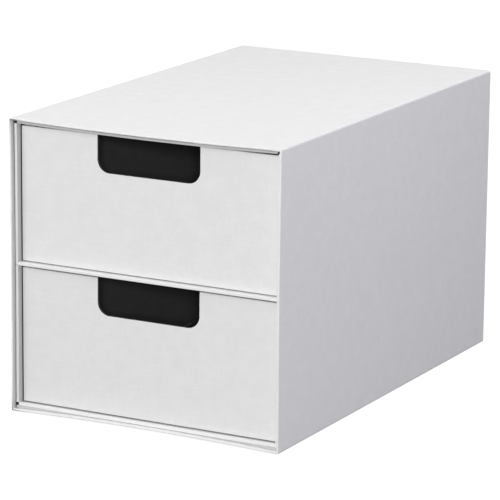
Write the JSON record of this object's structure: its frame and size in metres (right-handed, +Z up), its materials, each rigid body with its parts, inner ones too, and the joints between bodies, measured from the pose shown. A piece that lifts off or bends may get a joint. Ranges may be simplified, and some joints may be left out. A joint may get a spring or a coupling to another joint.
{
  "type": "miniature chest of drawers",
  "caption": "Tabletop chest made of paper-covered board: a square casing holds two bays with a shelf between them, and a drawer with a finger cut-out slides out of each.",
  "frame": {"origin": "middle of the underside, where the casing's bottom board stands on the table", "axes": "-Y out of the drawer fronts, +X to the chest's right side as seen from the front, +Z up"},
  "size_m": [0.23, 0.366, 0.228],
  "materials": {
    "casing_paper": "matt embossed cover paper",
    "bay_paper": "matt cover paper",
    "drawer_paper": "matt embossed cover paper, black inside"
  },
  "bodies": {
    "casing": {"casing_top": "casing_paper", "casing_bottom": "casing_paper", "casing_left_side": "casing_paper", "casing_right_side": "casing_paper", "casing_back": "casing_paper", "upper_bay_top": "bay_paper", "upper_bay_left_side": "bay_paper", "upper_bay_right_side": "bay_paper", "bay_shelf": "bay_paper", "lower_bay_bottom": "bay_paper", "lower_bay_left_side": "bay_paper", "lower_bay_right_side": "bay_paper"},
    "upper_drawer": {"upper_drawer_front": "drawer_paper", "upper_drawer_back": "drawer_paper", "upper_drawer_left_side": "drawer_paper", "upper_drawer_right_side": "drawer_paper", "upper_drawer_base": "drawer_paper"},
    "lower_drawer": {"lower_drawer_front": "drawer_paper", "lower_drawer_back": "drawer_paper", "lower_drawer_left_side": "drawer_paper", "lower_drawer_right_side": "drawer_paper", "lower_drawer_base": "drawer_paper"}
  },
  "joints": [
    {"name": "upper_drawer_slide", "type": "slide", "parent": "casing", "child": "upper_drawer", "axis": [0, -1, 0], "range_m": [0, 0.3]},
    {"name": "lower_drawer_slide", "type": "slide", "parent": "casing", "child": "lower_drawer", "axis": [0, -1, 0], "range_m": [0, 0.3]}
  ]
}
